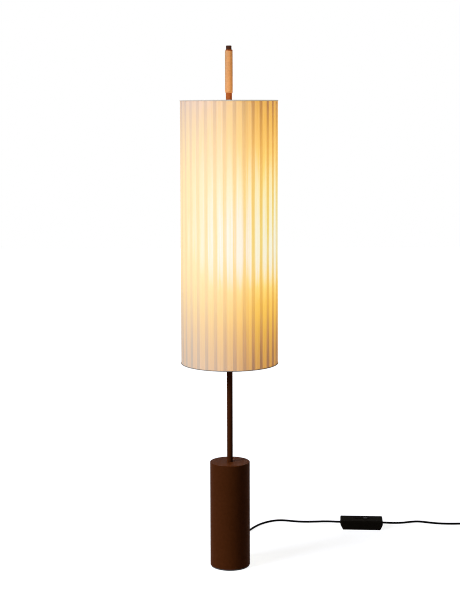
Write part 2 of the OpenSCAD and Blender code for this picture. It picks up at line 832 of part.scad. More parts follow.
module dimmer_cover() {
    color([0.08, 0.08, 0.07]) at_dimmer() difference() {
        intersection() {
            dimmer_form();
            translate([-dimmer_l, -dimmer_w, dimmer_seam_z])
                cube([2 * dimmer_l, 2 * dimmer_w, dimmer_h]);
        }
        dimmer_cavity(dimmer_seam_z - 1, dimmer_h - dimmer_wall);
        bush_bores();
        dimmer_posts(dimmer_screw_r + thread_gap, dimmer_seam_z - 1, dimmer_h - 5);
        translate([slot_mid_x - slot_l / 2, -slot_w / 2, dimmer_h - dimmer_wall - 1])
            cube([slot_l, slot_w, dimmer_wall + 2]);
        translate([slot_mid_x, 0, dimmer_h - track_depth]) linear_extrude(height = 2)
            round_rect(slider_travel + knob_l + 4, knob_w + 3, 3);
    }
}

// Thumb slider: a ridged knob on top, a stem in the slot and a foot under the cover
module dimmer_slider() {
    floor_z = dimmer_h - track_depth + seat_gap;
    under_z = dimmer_h - dimmer_wall - seat_gap;
    color([0.16, 0.16, 0.15]) at_dimmer() translate([slider_rest, 0, 0]) {
        difference() {
            translate([0, 0, floor_z]) linear_extrude(height = knob_h)
                round_rect(knob_l, knob_w, 2);
            for (x = [-3.6 : 1.8 : 3.6])
                translate([x - 0.45, -knob_w, floor_z + knob_h - 0.6])
                    cube([0.9, 2 * knob_w, 2]);
        }
        translate([-stem_l / 2, -slot_w / 2 + seat_gap, under_z - eps])
            cube([stem_l, slot_w - 2 * seat_gap, floor_z - under_z + 0.02]);
        translate([-foot_l / 2, -foot_l / 2, under_z - foot_h]) cube([foot_l, foot_l, foot_h]);
    }
}

module dimmer_board() {
    color([0.2, 0.4, 0.25]) at_dimmer() translate([0, 0, dimmer_wall + 5]) difference() {
        cube([dimmer_l - 2 * end_wall - 1, dimmer_w - 9, 1.6], center = true);
        dimmer_posts(dimmer_post_r + seat_gap, -2, 2);
    }
}

module dimmer_bushes() {
    color([0.05, 0.05, 0.05]) at_dimmer()
        for (s = [-1, 1])
            translate([s * port_x, 0, dimmer_seam_z]) rotate([0, -90 * s, 0])
                cylinder(r = bush_r, h = bush_len);
}

module dimmer_screws() {
    color("silver") at_dimmer()
        for (s = [-1, 1])
            translate([s * dimmer_screw_x, 0, 0.6]) {
                cylinder(r = dimmer_screw_r + 1.4, h = 2.3);
                cylinder(r = dimmer_screw_r, h = 18);
            }
}

// ---- cord, coil and plug ----

module cord_to_dimmer() {
    color([0.07, 0.07, 0.07]) swept_tube(to_dimmer, cord_r, 8);
}

module cord_to_coil() {
    color([0.07, 0.07, 0.07]) swept_tube(to_coil, cord_r, 8);
}

// In over the lower layer, up one layer in the half turn round the middle, out over the upper
function coil_point(n) =
    let (
        turn = n / coil_rings,
        climb = min(1, max(0, 2 * (turn - coil_turns) + 0.5)),
        radius = coil_in_r + coil_step * abs(turn - coil_turns)
    )
    coil_centre + [
        radius * sin(360 * turn),
        -radius * cos(360 * turn),
        coil_z + coil_step * climb
    ];
coil_path = concat(
    [coil_start - [cord_d, 0, 0]],
    [for (n = [0 : 2 * coil_turns * coil_rings]) coil_point(n)],
    [coil_end + [cord_d, 0, 0]]
);

module cord_coil() {
    echo(least_gap_in_coil = least_pitch(coil_path, coil_rings / 2) - cord_d);
    color([0.07, 0.07, 0.07]) swept_tube(coil_path, cord_r, 6);
}

module cord_tail() {
    color([0.07, 0.07, 0.07]) swept_tube(tail, cord_r, 8);
}

// Strap round the coil's turns, on its left side
module cord_tie() {
    inner_x = coil_in_r - cord_r - 0.6;
    outer_x = coil_out_r + cord_r + 0.4;
    tall = coil_step + cord_d + 0.6;
    color([0.15, 0.15, 0.15])
        translate(coil_centre + [-(inner_x + outer_x) / 2, tie_w / 2, coil_z - cord_r - 0.3 + tall / 2])
            rotate([90, 0, 0]) linear_extrude(height = tie_w) difference() {
                round_rect(outer_x - inner_x + 2 * tie_t, tall + 2 * tie_t, 4);
                round_rect(outer_x - inner_x, tall, 3.2);
            }
}

module at_plug() {
    translate(tail_end) children();
}

// Flat two-pin plug: shoulders drawn in towards the cord, with a tapered strain relief
module plug_body() {
    color([0.07, 0.07, 0.07]) at_plug() difference() {
        union() {
            rotate([-90, 0, 0]) cylinder(r1 = cord_r + 0.8, r2 = 5.2, h = plug_relief + 2);
            intersection() {
                translate([0, plug_relief, -plug_t / 2]) linear_extrude(height = plug_t)
                    polygon([
                        [-7, 0], [7, 0], [plug_w / 2, 14], [plug_w / 2, plug_l],
                        [-plug_w / 2, plug_l], [-plug_w / 2, 14]
                    ]);
                translate([0, plug_relief - 1, 0]) rotate([-90, 0, 0])
                    linear_extrude(height = plug_l + 2) round_rect(plug_w, plug_t, 6);
            }
        }
        for (s = [-1, 1])
            translate([s * pin_gap / 2, plug_relief + plug_l + 1, 0]) rotate([90, 0, 0])
                cylinder(r = pin_root_r + thread_gap, h = pin_root + 1);
    }
}

module plug_pins() {
    color([0.8, 0.8, 0.8]) at_plug()
        for (s = [-1, 1])
            translate([s * pin_gap / 2, plug_relief + plug_l, 0]) rotate([-90, 0, 0]) {
                translate([0, 0, -pin_root]) cylinder(r = pin_root_r, h = pin_root + 1);
                cylinder(r = pin_r, h = pin_len - 1);
                translate([0, 0, pin_len - 1]) cylinder(r1 = pin_r, r2 = pin_r - 0.8, h = 1);
            }
}

base_shell();
base_ballast();
base_plate();
base_pad();
base_screws();
cord_gland();
pole_lower();
pole_upper();
pole_joiner();
pole_shoulder();
pole_washer();
pole_nut();
pole_cap();
inner_lead();
handle_liner();
handle_wrap();
top_ring();
top_spider();
top_collar();
bottom_ring();
bottom_spider();
bottom_collar();
grub_screws();
shade_ribbons();
shade_hem_top();
shade_hem_bottom();
lamp_bracket();
holder_leads();
up_holder_cap();
up_holder_skirt();
up_holder_insert();
up_bulb_base();
up_bulb_globe();
down_holder_cap();
down_holder_skirt();
down_holder_insert();
down_bulb_base();
down_bulb_globe();
dimmer_base();
dimmer_cover();
dimmer_slider();
dimmer_board();
dimmer_bushes();
dimmer_screws();
cord_to_dimmer();
cord_to_coil();
cord_coil();
cord_tail();
cord_tie();
plug_body();
plug_pins();
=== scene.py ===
import math
import bmesh
import bpy
from mathutils import Matrix, Vector


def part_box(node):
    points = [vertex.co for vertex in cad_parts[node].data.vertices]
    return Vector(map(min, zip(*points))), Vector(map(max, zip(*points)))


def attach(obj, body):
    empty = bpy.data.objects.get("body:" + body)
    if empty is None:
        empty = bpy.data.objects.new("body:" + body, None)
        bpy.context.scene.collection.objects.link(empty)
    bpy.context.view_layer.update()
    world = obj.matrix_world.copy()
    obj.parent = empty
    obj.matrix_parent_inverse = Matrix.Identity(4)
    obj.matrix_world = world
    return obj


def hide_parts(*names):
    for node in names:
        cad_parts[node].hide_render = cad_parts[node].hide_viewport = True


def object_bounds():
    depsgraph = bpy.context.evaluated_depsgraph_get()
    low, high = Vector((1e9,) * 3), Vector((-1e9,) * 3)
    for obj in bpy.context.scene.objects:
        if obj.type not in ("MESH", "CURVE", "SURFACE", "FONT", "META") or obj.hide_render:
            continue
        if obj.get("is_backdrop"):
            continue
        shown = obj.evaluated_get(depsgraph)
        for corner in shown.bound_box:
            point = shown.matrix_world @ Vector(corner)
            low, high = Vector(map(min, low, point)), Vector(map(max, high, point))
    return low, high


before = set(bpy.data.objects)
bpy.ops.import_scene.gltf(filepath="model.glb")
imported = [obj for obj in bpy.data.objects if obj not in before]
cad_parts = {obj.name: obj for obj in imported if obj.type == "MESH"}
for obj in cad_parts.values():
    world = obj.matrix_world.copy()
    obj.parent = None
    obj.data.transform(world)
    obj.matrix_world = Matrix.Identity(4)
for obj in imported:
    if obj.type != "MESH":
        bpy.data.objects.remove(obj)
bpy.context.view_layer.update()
scene = bpy.context.scene
scene.view_settings.view_transform = "Standard"
sharp_pixels = 1.0
scene.cycles.filter_width = sharp_pixels

# ---- camera ----
# It stands 3.85 m in front of the lamp, level with the shade's top, and looks five degrees
# down. The photograph is framed with the lamp high in it, which is the vertical shift.
camera_place = (0.0, -3.8487, 1.2891)
camera_tilt = math.radians(85)
camera_roll = -0.0029
long_side_px = 613
focal_px = 1387.9
axis_offset_px = (0.71, -75.56)

camera_data = bpy.data.cameras.new("camera")
camera_data.sensor_width = 36
camera_data.lens = focal_px * camera_data.sensor_width / long_side_px
camera_data.shift_x, camera_data.shift_y = (v / long_side_px for v in axis_offset_px)
camera_data.clip_end = 50
camera = bpy.data.objects.new("camera", camera_data)
camera.matrix_world = (
    Matrix.Translation(camera_place) @ Matrix.Rotation(camera_tilt, 4, "X")
    @ Matrix.Rotation(camera_roll, 4, "Z"))
scene.collection.objects.link(camera)
scene.camera = camera


# ---- cord from the base to the dimmer ----
# Two-core mains cord in a black braided sleeve, 6.2 mm thick. It comes out of the rubber relief
# behind the base, sinks to the floor within 200 mm and runs in loose curves to the dimmer.
def mm(*points):
    """Points given in millimetres, as vectors in metres."""
    return [Vector(p) / 1000 for p in points]


def smooth_route(points, parts):
    """A smooth line through the points, each gap between them cut into this many steps."""
    ends = [2 * points[0] - points[1], *points, 2 * points[-1] - points[-2]]
    line = []
    for a, b, c, d in zip(ends, ends[1:], ends[2:], ends[3:]):
        for t in (k / parts for k in range(parts)):
            bow = (2 * a - 5 * b + 4 * c - d) * t * t + (3 * b - a - 3 * c + d) * t**3
            line.append((2 * b + (c - a) * t + bow) / 2)
    return [*line, points[-1]]


def add_node(tree, kind, inputs=(), **settings):
    """Adds a node. Each input is a value to set or a socket to link."""
    node = tree.nodes.new(kind)
    for key, value in settings.items():
        setattr(node, key, value)
    for key, value in dict(inputs).items():
        if isinstance(value, bpy.types.NodeSocket):
            tree.links.new(value, node.inputs[key])
        else:
            node.inputs[key].default_value = value
    return node


def calc(tree, operation, *values):
    """Output of a shader or geometry Math node."""
    return add_node(tree, "ShaderNodeMath", enumerate(values), operation=operation).outputs[0]


def mixed_colour(tree, share, first, second, blend="MIX"):
    """A colour between two, each a plain colour or a socket."""
    first, second = (c if isinstance(c, bpy.types.NodeSocket) else (*c, 1) for c in (first, second))
    return add_node(tree, "ShaderNodeMix", {"Factor": share, 6: first, 7: second},
                    data_type="RGBA", blend_type=blend).outputs[2]


def surface(name, roughness, **sockets):
    """A new material and its Principled node, whose plain values are set on its own sockets."""
    made = bpy.data.materials.new(name)
    made.use_nodes = True
    shader = made.node_tree.nodes["Principled BSDF"]
    shader.inputs["Roughness"].default_value = roughness
    for key, value in sockets.items():
        socket = shader.inputs[key.replace("_", " ").title().replace("Ior", "IOR")]
        socket.default_value = value
    return made, made.node_tree, shader


def relief(tree, shader, height, depth, edge_radius=0.0):
    """Bump from a height between 0 and 1, in metres, over edges that look rounded."""
    bump = add_node(tree, "ShaderNodeBump", {"Height": height, "Distance": depth})
    if edge_radius:
        rounded = add_node(tree, "ShaderNodeBevel", {"Radius": edge_radius}, samples=6)
        tree.links.new(rounded.outputs[0], bump.inputs["Normal"])
    tree.links.new(bump.outputs[0], shader.inputs["Normal"])


def piece(name, mesh, finish, slot, *nodes):
    """An object made of a mesh, with its finish, in place of these CAD nodes."""
    made = bpy.data.objects.new(name, mesh)
    scene.collection.objects.link(made)
    if not mesh.materials:
        mesh.materials.append(finish)
    for face in mesh.polygons:
        face.use_smooth = True
    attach(made, "root")
    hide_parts(*nodes)
    return made


def tube_mesh(name, line, radius, sides):
    """Closed tube along a line. Its UV map is in metres: u round the tube, v along it."""
    rings, along = [], [0.0]
    for i, centre in enumerate(line):
        ahead = (line[min(i + 1, len(line) - 1)] - line[max(i - 1, 0)]).normalized()
        side = ahead.cross(Vector((0, 0, 1))).normalized()
        up = side.cross(ahead)
        for k in range(sides):
            turn = 2 * math.pi * k / sides
            rings.append(centre + radius * (side * math.cos(turn) + up * math.sin(turn)))
        if i:
            along.append(along[-1] + (centre - line[i - 1]).length)
    faces, uvs = [], []
    for i in range(len(line) - 1):
        for k in range(sides):
            a, b = i * sides + k, i * sides + (k + 1) % sides
            faces.append((a, b, b + sides, a + sides))
            u0, u1 = (2 * math.pi * radius * n / sides for n in (k, k + 1))
            uvs += [(u0, along[i]), (u1, along[i]), (u1, along[i + 1]), (u0, along[i + 1])]
    for start, order in ((0, -1), ((len(line) - 1) * sides, 1)):
        faces.append([start + k for k in range(sides)][::order])
        uvs += [(0.0, 0.0)] * sides
    mesh = bpy.data.meshes.new(name)
    mesh.from_pydata(rings, [], faces)
    layer = mesh.uv_layers.new(name="along")
    layer.data.foreach_set("uv", [v for uv in uvs for v in uv])
    return mesh


cord_d = 0.0062
cord_sides = 20
braid_strands = 12
braid_pitch = 0.0042

sheath, tree, shader = surface("braided_cord", 0.65, specular_ior_level=0.02)
uv = add_node(tree, "ShaderNodeSeparateXYZ", {
    0: add_node(tree, "ShaderNodeUVMap", uv_map="along").outputs[0]})
round_it = calc(tree, "MULTIPLY", uv.outputs[0], braid_strands / (cord_d / 2))
along_it = calc(tree, "MULTIPLY", uv.outputs[1], 2 * math.pi / braid_pitch)
strands = calc(
    tree, "MULTIPLY",
    calc(tree, "SINE", calc(tree, "MULTIPLY", calc(tree, "ADD", round_it, along_it), 0.5)),
    calc(tree, "SINE", calc(tree, "MULTIPLY", calc(tree, "SUBTRACT", round_it, along_it), 0.5)),
)
raised = calc(tree, "ABSOLUTE", strands)
# The strands are painted lighter where they stand high and darker in the gaps between them: a
# painted glint on top of the braid and painted shade between its strands.
tree.links.new(mixed_colour(tree, raised, (0.0015, 0.0014, 0.0013), (0.009, 0.0085, 0.008)),
               shader.inputs["Base Color"])
relief(tree, shader, raised, depth=0.00015)

dimmer_centre = Vector((0.4065, 0.354, 0.015))
dimmer_turn = math.radians(-4)
dimmer_axis = Vector((math.cos(dimmer_turn), math.sin(dimmer_turn), 0))
port_reach = 0.066
left_port = dimmer_centre - port_reach * dimmer_axis
right_port = dimmer_centre + port_reach * dimmer_axis

base_cord_line = smooth_route(
    mm((0, 84, 14.5), (0, 90.2, 14.5), (0.5, 102, 13.6), (1.5, 117, 11.2), (3, 133, 8.2),
       (6, 150, 5.4), (10, 168, 3.8), (14, 186, 3.2), (19, 206, 3.1), (25, 228, 3.1),
       (32, 250, 3.1), (40, 272, 3.1), (50, 295, 3.1), (61, 317, 3.1), (71, 338, 3.1),
       (82, 358, 3.1), (95, 377, 3.1), (109, 392, 3.1), (124, 404, 3.1), (141, 413, 3.1),
       (159, 416, 3.1), (177, 413, 3.1), (195, 407, 3.1), (214, 402, 3.1), (232, 399.5, 3.2),
       (248, 396.7, 4), (263, 392, 5.7), (277.5, 385.5, 8), (291.5, 378.2, 10.5),
       (305.5, 370.4, 12.8), (319.5, 363.4, 14.4))
    + [left_port - cord_d * dimmer_axis, left_port],
    parts=5)
base_cord = piece(
    "base_cord", tube_mesh("base_cord", base_cord_line, cord_d / 2, cord_sides),
    sheath, "cord_sheath", "cord_to_dimmer")


# ---- cord from the dimmer to the plug ----
# The same cord goes on out of the picture. What the photograph doesn't show, about 1.5 m, is put
# away as a round coil of two layers with three turns each, tied with a strap, the plug beside it.
coil_centre = Vector((0.792, 0.425, 0.0))
coil_step = 0.0067
coil_inner_r = 0.02695
coil_low_z = 0.0043
coil_turns = 3
coil_rings = 36


def coil_point(turn):
    """In over the lower layer, up in the half turn round the middle, out over the upper one."""
    radius = coil_inner_r + coil_step * abs(turn - coil_turns)
    climb = min(1, max(0, 2 * (turn - coil_turns) + 0.5))
    angle = 2 * math.pi * turn
    return coil_centre + Vector((
        radius * math.sin(angle), -radius * math.cos(angle), coil_low_z + coil_step * climb))


coil = [coil_point(n / coil_rings) for n in range(2 * coil_turns * coil_rings + 1)]
wall_cord_line = (
    smooth_route(
        [right_port, right_port + cord_d * dimmer_axis]
        + mm((493.5, 348.2, 14.4), (509, 352, 12.9), (525, 361, 10.4), (540, 372.6, 7.6),
             (555, 385.2, 5.3), (569, 394.2, 3.8), (583, 398.4, 3.2), (597, 396.8, 3.1),
             (614, 390.2, 3.1), (631, 383.6, 3.1), (649, 378.2, 3.1), (668, 375.2, 3.1),
             (687, 374.2, 3.1), (706, 374.4, 3.1), (725, 375.4, 3.2), (744, 376.8, 3.5),
             (762, 377.8, 4), (779.6, 377.95, 4.3), (785.8, 377.95, 4.3)),
        parts=5)
    + coil
    + smooth_route(
        mm((798.2, 377.95, 11), (804.4, 377.95, 11), (818, 379.95, 9.8), (832, 384.95, 7.8),
           (846, 393.95, 5.6), (858, 405.95, 4.1), (866, 417.95, 4.1), (871, 431.5, 6),
           (872, 440.8, 7), (872, 447, 7)),
        parts=5))
wall_cord = piece(
    "wall_cord", tube_mesh("wall_cord", wall_cord_line, cord_d / 2, cord_sides),
    sheath, "cord_sheath", "cord_to_coil", "cord_coil", "cord_tail")


# ---- plug and coil tie ----
# Flat two-pin plug of black moulded plastic with nickel pins, and a woven strap that closes on
# itself and holds the coil together.
same_point = 0.00001
nearly_flat = math.radians(1)


def plain_copy(node):
    """A welded copy of a CAD node's mesh, for a piece that takes its shape a step further."""
    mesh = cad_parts[node].data.copy()
    work = bmesh.new()
    work.from_mesh(mesh)
    bmesh.ops.remove_doubles(work, verts=work.verts, dist=same_point)
    bmesh.ops.dissolve_limit(
        work, angle_limit=nearly_flat, verts=work.verts, edges=work.edges)
    work.to_mesh(mesh)
    work.free()
    mesh.materials.clear()
    return mesh


def rounded_edges(made, width, segments, sharper_than, harden):
    """Rounds the edges of a piece that are sharper than this angle."""
    edge = made.modifiers.new("edge", "BEVEL")
    edge.width, edge.segments = width, segments
    edge.limit_method, edge.angle_limit = "ANGLE", sharper_than
    edge.harden_normals = harden


def textured(name, light, dark, roughness, grain, depth, stretch=(1, 1, 1), edge_radius=0.0,
             **sockets):
    """Finish that wanders between two shades and has a fine grain: grain is in patches a metre."""
    made, tree, shader = surface(name, roughness, **sockets)
    place = add_node(tree, "ShaderNodeMapping", {
        "Vector": add_node(tree, "ShaderNodeTexCoord").outputs["Object"], "Scale": stretch})
    cloud = add_node(tree, "ShaderNodeTexNoise", {
        "Vector": place.outputs[0], "Scale": grain / 12, "Detail": 4})
    fine = add_node(tree, "ShaderNodeTexNoise", {
        "Vector": place.outputs[0], "Scale": grain, "Detail": 3})
    share = calc(tree, "ADD", calc(tree, "MULTIPLY", cloud.outputs[0], 0.7),
                 calc(tree, "MULTIPLY", fine.outputs[0], 0.3))
    even = add_node(tree, "ShaderNodeMapRange", {0: share, 1: 0.35, 2: 0.65})
    gloss = add_node(tree, "ShaderNodeMapRange", {
        0: fine.outputs[0], 1: 0.3, 2: 0.7, 3: roughness * 0.85, 4: min(1, roughness * 1.15)})
    tree.links.new(mixed_colour(tree, even.outputs[0], dark, light), shader.inputs["Base Color"])
    tree.links.new(gloss.outputs[0], shader.inputs["Roughness"])
    relief(tree, shader, fine.outputs[0], depth, edge_radius)
    return made


def dress(finish, *nodes):
    """Gives CAD nodes whose shape stays their finish."""
    for node in nodes:
        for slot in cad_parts[node].material_slots:
            slot.material = finish


plug_plastic = textured(
    "moulded_black", light=(0.012, 0.0118, 0.0112), dark=(0.007, 0.007, 0.0068),
    roughness=0.48, grain=2600, depth=0.00004, specular_ior_level=0.1)
plug = piece("plug_shell", plain_copy("plug_body"), plug_plastic, "plug_plastic", "plug_body")
rounded_edges(plug, width=0.0012, segments=3, sharper_than=0.6, harden=True)

nickel = textured(
    "nickel", light=(0.62, 0.6, 0.57), dark=(0.5, 0.49, 0.47),
    roughness=0.28, grain=900, depth=0.00001, stretch=(1, 0.15, 1), metallic=1.0)
dress(nickel, "plug_pins")

woven, tree, shader = surface("woven_strap", 0.85, specular_ior_level=0.1, sheen_weight=0.08)
place = add_node(tree, "ShaderNodeTexCoord").outputs["Object"]
weave = add_node(tree, "ShaderNodeTexVoronoi", {"Vector": place, "Scale": 900.0})
tree.links.new(
    mixed_colour(tree, weave.outputs[0], (0.022, 0.022, 0.023), (0.008, 0.008, 0.009)),
    shader.inputs["Base Color"])
relief(tree, shader, weave.outputs[0], depth=0.0003)

tie_w, tie_t = 0.014, 0.0009
tie_corner = 0.0045
corner_steps = 6
tie_low, tie_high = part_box("cord_tie")
tie_mid = (tie_low + tie_high) / 2
half_x, half_z = (tie_high.x - tie_low.x) / 2, (tie_high.z - tie_low.z) / 2
loop = []
for cx, cz, first in ((1, 1, 0), (-1, 1, 90), (-1, -1, 180), (1, -1, 270)):
    for step in range(corner_steps + 1):
        angle = math.radians(first + 90 / corner_steps * step)
        loop.append((cx * (half_x - tie_corner) + tie_corner * math.cos(angle),
                     cz * (half_z - tie_corner) + tie_corner * math.sin(angle)))
outer = [tie_mid + Vector((x, 0, z)) for x, z in loop]
inner = [tie_mid + Vector((x * (1 - tie_t / half_x), 0, z * (1 - tie_t / half_z)))
         for x, z in loop]
rows = [[p + Vector((0, side * tie_w / 2, 0)) for p in ring]
        for ring, side in ((outer, -1), (outer, 1), (inner, 1), (inner, -1))]
count = len(loop)
faces = [(r * count + k, r * count + (k + 1) % count,
          (r + 1) % 4 * count + (k + 1) % count, (r + 1) % 4 * count + k)
         for r in range(4) for k in range(count)]
tie_mesh = bpy.data.meshes.new("coil_tie")
tie_mesh.from_pydata([p for row in rows for p in row], [], faces)
tie = piece("coil_tie", tie_mesh, woven, "tie_cloth", "cord_tie")
rounded_edges(tie, width=0.0002, segments=2, sharper_than=1.0, harden=False)


# ---- dimmer ----
# Inline floor dimmer: two shells of black moulded plastic that meet at the cords, a ridged
# thumb slider in a track on top, rubber bushes at both ends and two screws from below.
dimmer_plastic = textured(
    "dimmer_plastic", light=(0.0135, 0.0105, 0.0068), dark=(0.0095, 0.0073, 0.0046),
    roughness=0.42, grain=2400, depth=0.00003, edge_radius=0.0009, specular_ior_level=0.0008)
dress(dimmer_plastic, "dimmer_base", "dimmer_cover")
knob_plastic = textured(
    "knob_plastic", light=(0.014, 0.012, 0.01), dark=(0.01, 0.0085, 0.007),
    roughness=0.4, grain=3000, depth=0.00005, edge_radius=0.0003, specular_ior_level=0.03)
dress(knob_plastic, "dimmer_slider")
board_resin = textured(
    "board_resin", light=(0.03, 0.12, 0.05), dark=(0.02, 0.09, 0.035),
    roughness=0.4, grain=700, depth=0.00002)
dress(board_resin, "dimmer_board")
black_rubber = textured(
    "black_rubber", light=(0.014, 0.014, 0.013), dark=(0.007, 0.007, 0.007),
    roughness=0.7, grain=1800, depth=0.00006, specular_ior_level=0.3)
dress(black_rubber, "dimmer_bushes", "cord_gland")
zinc = textured(
    "zinc_plate", light=(0.5, 0.5, 0.5), dark=(0.36, 0.36, 0.38),
    roughness=0.34, grain=1500, depth=0.00002, metallic=1.0)
dress(zinc, "dimmer_screws", "base_screws", "pole_washer", "pole_nut", "pole_joiner", "grub_screws")


# ---- base ----
# Steel tube with a welded top, sprayed dark brown with a satin finish. Inside are an iron
# ballast and a closing plate, and under it lies a felt pad.
base_paint = textured(
    "base_paint", light=(0.088, 0.0222, 0.0045), dark=(0.077, 0.0187, 0.0034),
    roughness=0.6, grain=1400, depth=0.00002, specular_ior_level=0.02)
dress(base_paint, "base_shell")
plate_steel = textured(
    "plate_steel", light=(0.05, 0.048, 0.046), dark=(0.03, 0.03, 0.03),
    roughness=0.55, grain=900, depth=0.00005)
dress(plate_steel, "base_plate")
felt = textured(
    "felt", light=(0.03, 0.024, 0.02), dark=(0.012, 0.01, 0.008),
    roughness=0.95, grain=1800, depth=0.0004, sheen_weight=0.25)
dress(felt, "base_pad")
cast_iron = textured(
    "cast_iron", light=(0.07, 0.07, 0.072), dark=(0.04, 0.04, 0.042),
    roughness=0.7, grain=500, depth=0.0003, metallic=0.6)
dress(cast_iron, "base_ballast", "pole_shoulder")


# ---- pole ----
# Thin steel tube in two screwed lengths, in the base's own brown, with a dark brown cap.
# It runs right through the shade, and a lead rises inside it.
pole_paint = textured(
    "pole_paint", light=(0.086, 0.022, 0.005), dark=(0.075, 0.0185, 0.004),
    roughness=0.6, grain=1400, depth=0.00001, specular_ior_level=0.006)
dress(pole_paint, "pole_lower", "pole_upper", "top_collar", "bottom_collar")
tip_paint = textured(
    "tip_paint", light=(0.09, 0.035, 0.022), dark=(0.05, 0.018, 0.01),
    roughness=0.5, grain=1600, depth=0.00003, specular_ior_level=0.05)
dress(tip_paint, "pole_cap")
lead_sleeve = textured(
    "lead_sleeve", light=(0.5, 0.48, 0.42), dark=(0.42, 0.4, 0.35),
    roughness=0.5, grain=1500, depth=0.00002)
dress(lead_sleeve, "holder_leads")
dress(black_rubber, "inner_lead")


# ---- cane handle ----
# A flat strip of split cane with rounded edges, wound tightly in one helix on a leather liner
# round the pole. Its ends are drawn in, and the leather shows below it, down to the shade.
def make_tree(name, **sizes):
    """A Geometry Nodes tree with these named inputs, and the outputs of its input node."""
    tree = bpy.data.node_groups.new(name, "GeometryNodeTree")
    tree.interface.new_socket("Geometry", in_out="OUTPUT", socket_type="NodeSocketGeometry")
    kinds = {float: "NodeSocketFloat", int: "NodeSocketInt"}
    for key, value in sizes.items():
        made = tree.interface.new_socket(
            key.replace("_", " ").title(), in_out="INPUT", socket_type=kinds[type(value)])
        made.default_value = value
    return tree, tree.nodes.new("NodeGroupInput").outputs


def close_tree(tree, geometry, finish):
    """Ends a tree in Realize Instances and Set Material."""
    real = add_node(tree, "GeometryNodeRealizeInstances", {0: geometry})
    done = add_node(tree, "GeometryNodeSetMaterial", {0: real.outputs[0], "Material": finish})
    add_node(tree, "NodeGroupOutput", {0: done.outputs[0]})


def grow(tree, **sizes):
    """The plain mesh that a tree makes at these sizes."""
    holder = bpy.data.objects.new(tree.name, bpy.data.meshes.new(tree.name))
    scene.collection.objects.link(holder)
    modifier = holder.modifiers.new("grow", "NODES")
    modifier.node_group = tree
    for made in tree.interface.items_tree:
        if made.in_out == "INPUT":
            modifier[made.identifier] = sizes[made.name.lower().replace(" ", "_")]
    seen = holder.evaluated_get(bpy.context.evaluated_depsgraph_get())
    mesh = bpy.data.meshes.new_from_object(seen)
    bpy.data.objects.remove(holder)
    return mesh


def stored(tree, geometry, name, value, domain="POINT", kind="FLOAT"):
    """The geometry with a value kept in a named attribute, for the material."""
    return add_node(tree, "GeometryNodeStoreNamedAttribute", {
        0: geometry, "Name": name, "Value": value}, domain=domain, data_type=kind).outputs[0]


def stepped(tree, value, low, high, first, last):
    """Smooth step from first to last as the value goes from low to high."""
    return add_node(tree, "ShaderNodeMapRange", {0: value, 1: low, 2: high, 3: first, 4: last},
                    interpolation_type="SMOOTHSTEP").outputs[0]


cane, tree, shader = surface("cane", 0.5, specular_ior_level=0.15)
along, across = (add_node(tree, "ShaderNodeAttribute", attribute_name=n).outputs["Fac"]
                 for n in ("along", "across"))
fibres_a_metre, fibres_round, patches_a_metre = 25.0, 9.0, 22.0
fibre_place = add_node(tree, "ShaderNodeCombineXYZ", {
    0: calc(tree, "MULTIPLY", along, fibres_a_metre),
    1: calc(tree, "MULTIPLY", across, fibres_round)})
fibres = add_node(tree, "ShaderNodeTexNoise", {
    "Vector": fibre_place.outputs[0], "Scale": 1.0, "Detail": 5.0})
length_place = add_node(tree, "ShaderNodeCombineXYZ", {
    0: calc(tree, "MULTIPLY", along, patches_a_metre)})
lengths = add_node(tree, "ShaderNodeTexNoise", {
    "Vector": length_place.outputs[0], "Scale": 1.0, "Detail": 2.0})
mixed = calc(tree, "ADD", calc(tree, "MULTIPLY", fibres.outputs[0], 0.6),
             calc(tree, "MULTIPLY", lengths.outputs[0], 0.5))
tone = add_node(tree, "ShaderNodeMapRange", {0: mixed, 1: 0.35, 2: 0.75})
tree.links.new(mixed_colour(tree, tone.outputs[0], (0.62, 0.33, 0.135), (0.74, 0.43, 0.2)),
               shader.inputs["Base Color"])
relief(tree, shader, fibres.outputs[0], depth=0.00005)

cane_turns = 28.0
cane_w = 0.0041
cane_t = 0.0015
cane_edge = 0.0003
cane_drawn_in = 0.0004
drawn_over = 0.006
steps_a_turn = 48
wrap_low, wrap_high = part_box("handle_wrap")
tree, size = make_tree(
    "cane_wrap", turns=0.0, inner_radius=0.0, strip_width=0.0, strip_thickness=0.0,
    strip_edge=0.0, lower_end=0.0, height=0.0, drawn_in=0.0)
helix = add_node(tree, "GeometryNodeCurveSpiral", {
    "Resolution": steps_a_turn, "Rotations": size["Turns"],
    "Start Radius": 1.0, "End Radius": 1.0, "Height": 1.0})
spot = add_node(tree, "ShaderNodeSeparateXYZ", {
    0: add_node(tree, "GeometryNodeInputPosition").outputs[0]})
rise = calc(tree, "MULTIPLY", spot.outputs[2],
            calc(tree, "SUBTRACT", size["Height"], size["Strip Width"]))
from_end = calc(tree, "MINIMUM", rise, calc(tree, "SUBTRACT", size["Height"], rise))
half_t, half_w = (calc(tree, "DIVIDE", size[n], 2.0) for n in ("Strip Thickness", "Strip Width"))
reach = calc(tree, "SUBTRACT", calc(tree, "ADD", size["Inner Radius"], half_t),
             stepped(tree, from_end, 0.0, drawn_over, size["Drawn In"], 0.0))
placed = add_node(tree, "GeometryNodeSetPosition", {
    0: helix.outputs[0],
    "Position": add_node(tree, "ShaderNodeCombineXYZ", {
        0: calc(tree, "MULTIPLY", spot.outputs[0], reach),
        1: calc(tree, "MULTIPLY", spot.outputs[1], reach),
        2: calc(tree, "ADD", rise, calc(tree, "ADD", size["Lower End"], half_w)),
    }).outputs[0]})
run = add_node(tree, "GeometryNodeSplineParameter")
kept = stored(tree, placed.outputs[0], "along", run.outputs["Length"])
upright = add_node(tree, "GeometryNodeSetCurveNormal", {0: kept}, mode="Z_UP")
section = add_node(tree, "GeometryNodeCurvePrimitiveQuadrilateral", {
    "Width": size["Strip Thickness"], "Height": size["Strip Width"]})
